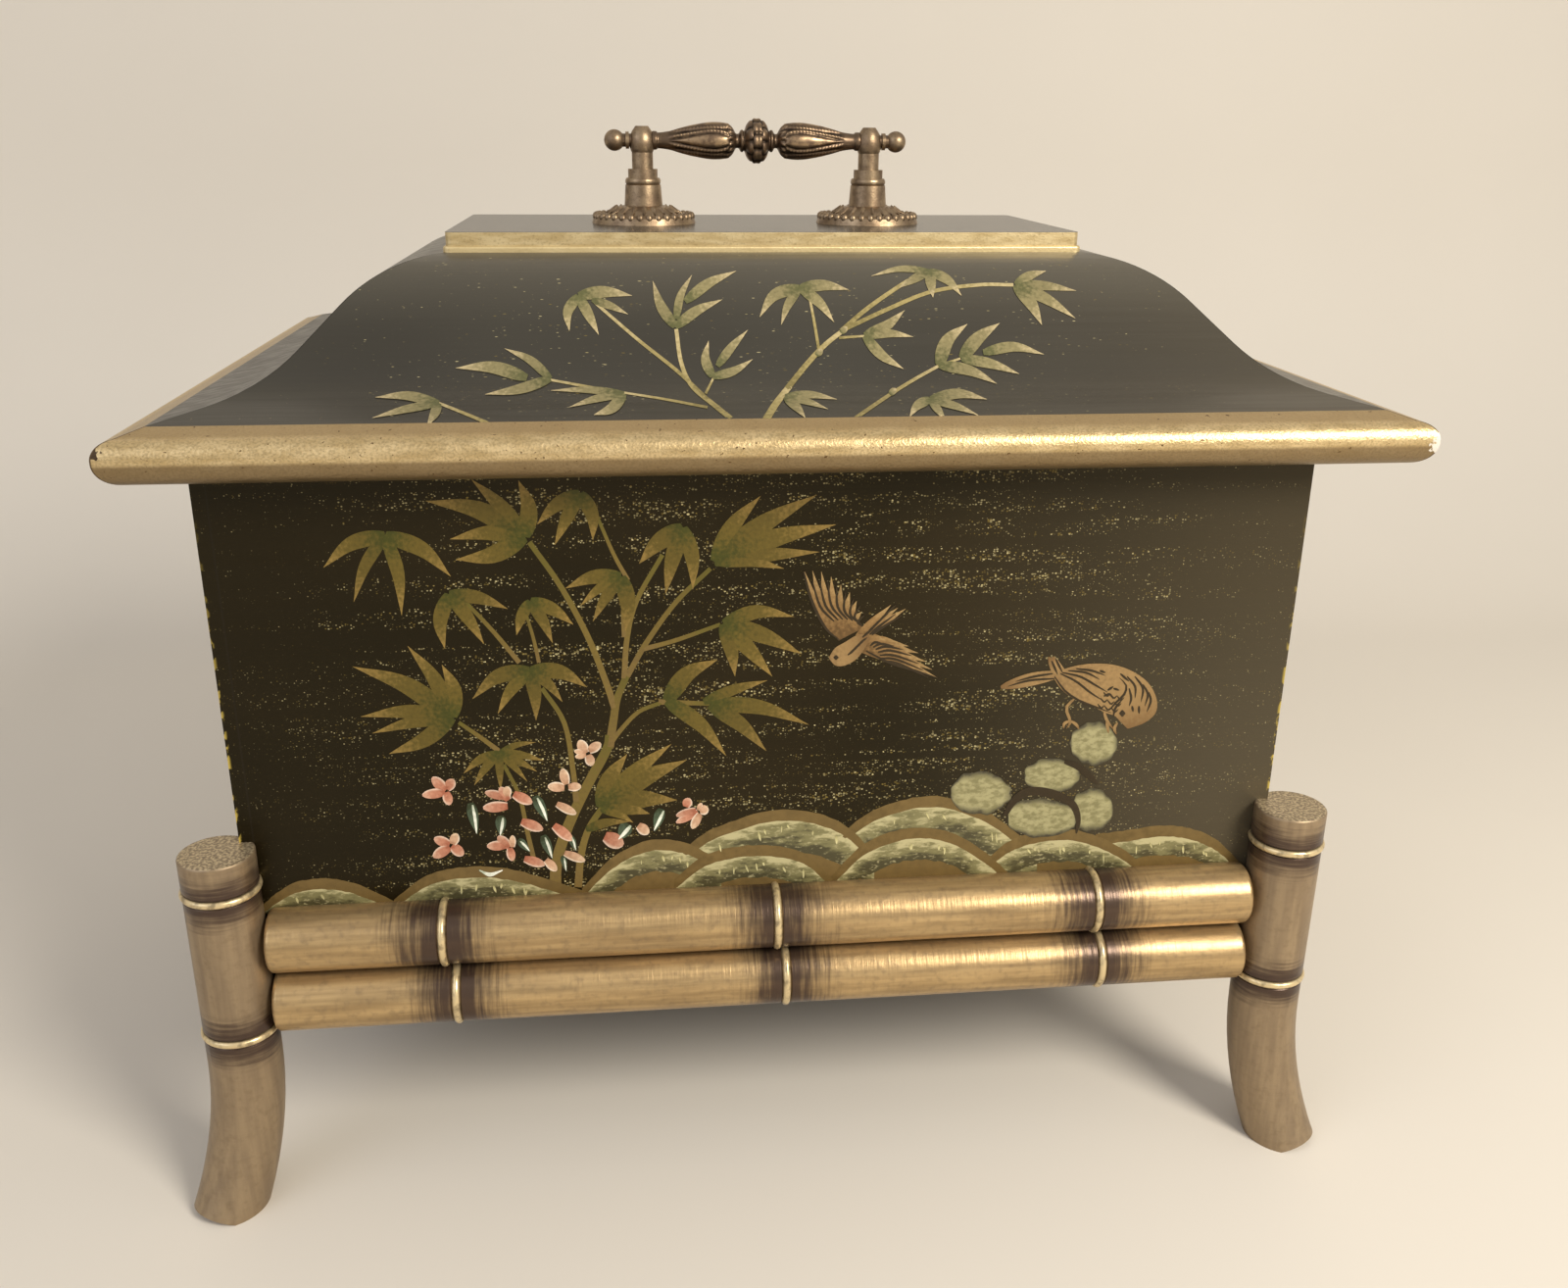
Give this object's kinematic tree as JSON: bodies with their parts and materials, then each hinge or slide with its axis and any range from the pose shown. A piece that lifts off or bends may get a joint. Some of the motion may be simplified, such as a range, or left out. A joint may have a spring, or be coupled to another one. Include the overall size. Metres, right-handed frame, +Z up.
{
  "type": "keepsake chest",
  "caption": "Keepsake chest with a lift-off pagoda lid, gilded rim, cast spindle handle and a bamboo-pattern stand with flared legs.",
  "frame": {"origin": "on the floor under the middle of the chest", "axes": "+X to the right along the painted front, +Y to the back, +Z up; the painted front faces -Y"},
  "size_m": [0.3722, 0.2636, 0.3269],
  "materials": {
    "black_lacquer": "gloss black lacquer on wood, worn brown, with painted gold decoration",
    "plain_wood": "dark stained wood",
    "gilt": "antique gold paint on wood, satin",
    "bamboo_gilt": "bronze gold paint on turned wood, darker round the nodes",
    "antique_brass": "aged cast brass with worn highlights",
    "steel": "plain steel"
  },
  "bodies": {
    "chest": {"box_front": "black_lacquer", "box_back": "black_lacquer", "box_left": "black_lacquer", "box_right": "black_lacquer", "box_floor": "black_lacquer", "leg_front_left": "bamboo_gilt", "leg_front_right": "bamboo_gilt", "leg_back_left": "bamboo_gilt", "leg_back_right": "bamboo_gilt", "rail_upper_front": "bamboo_gilt", "rail_upper_right": "bamboo_gilt", "rail_upper_back": "bamboo_gilt", "rail_upper_left": "bamboo_gilt", "rail_lower_front": "bamboo_gilt", "rail_lower_right": "bamboo_gilt", "rail_lower_back": "bamboo_gilt", "rail_lower_left": "bamboo_gilt", "leg_screws": "steel"},
    "lid": {"lid_roof_front": "black_lacquer", "lid_roof_back": "black_lacquer", "lid_roof_right": "black_lacquer", "lid_roof_left": "black_lacquer", "lid_rim_front": "gilt", "lid_rim_back": "gilt", "lid_rim_right": "gilt", "lid_rim_left": "gilt", "lid_lip_front": "plain_wood", "lid_lip_back": "plain_wood", "lid_lip_right": "plain_wood", "lid_lip_left": "plain_wood", "lid_top_board": "black_lacquer", "handle_spindle": "antique_brass", "handle_rosette_left": "antique_brass", "handle_rosette_right": "antique_brass", "handle_post_left": "antique_brass", "handle_post_right": "antique_brass", "handle_finial_left": "antique_brass", "handle_finial_right": "antique_brass", "handle_screws": "steel", "handle_washers": "steel"}
  },
  "joints": [
    {"name": "lid_lift", "type": "slide", "parent": "chest", "child": "lid", "axis": [0, 0, 1], "range_m": [0, 0.25]}
  ]
}
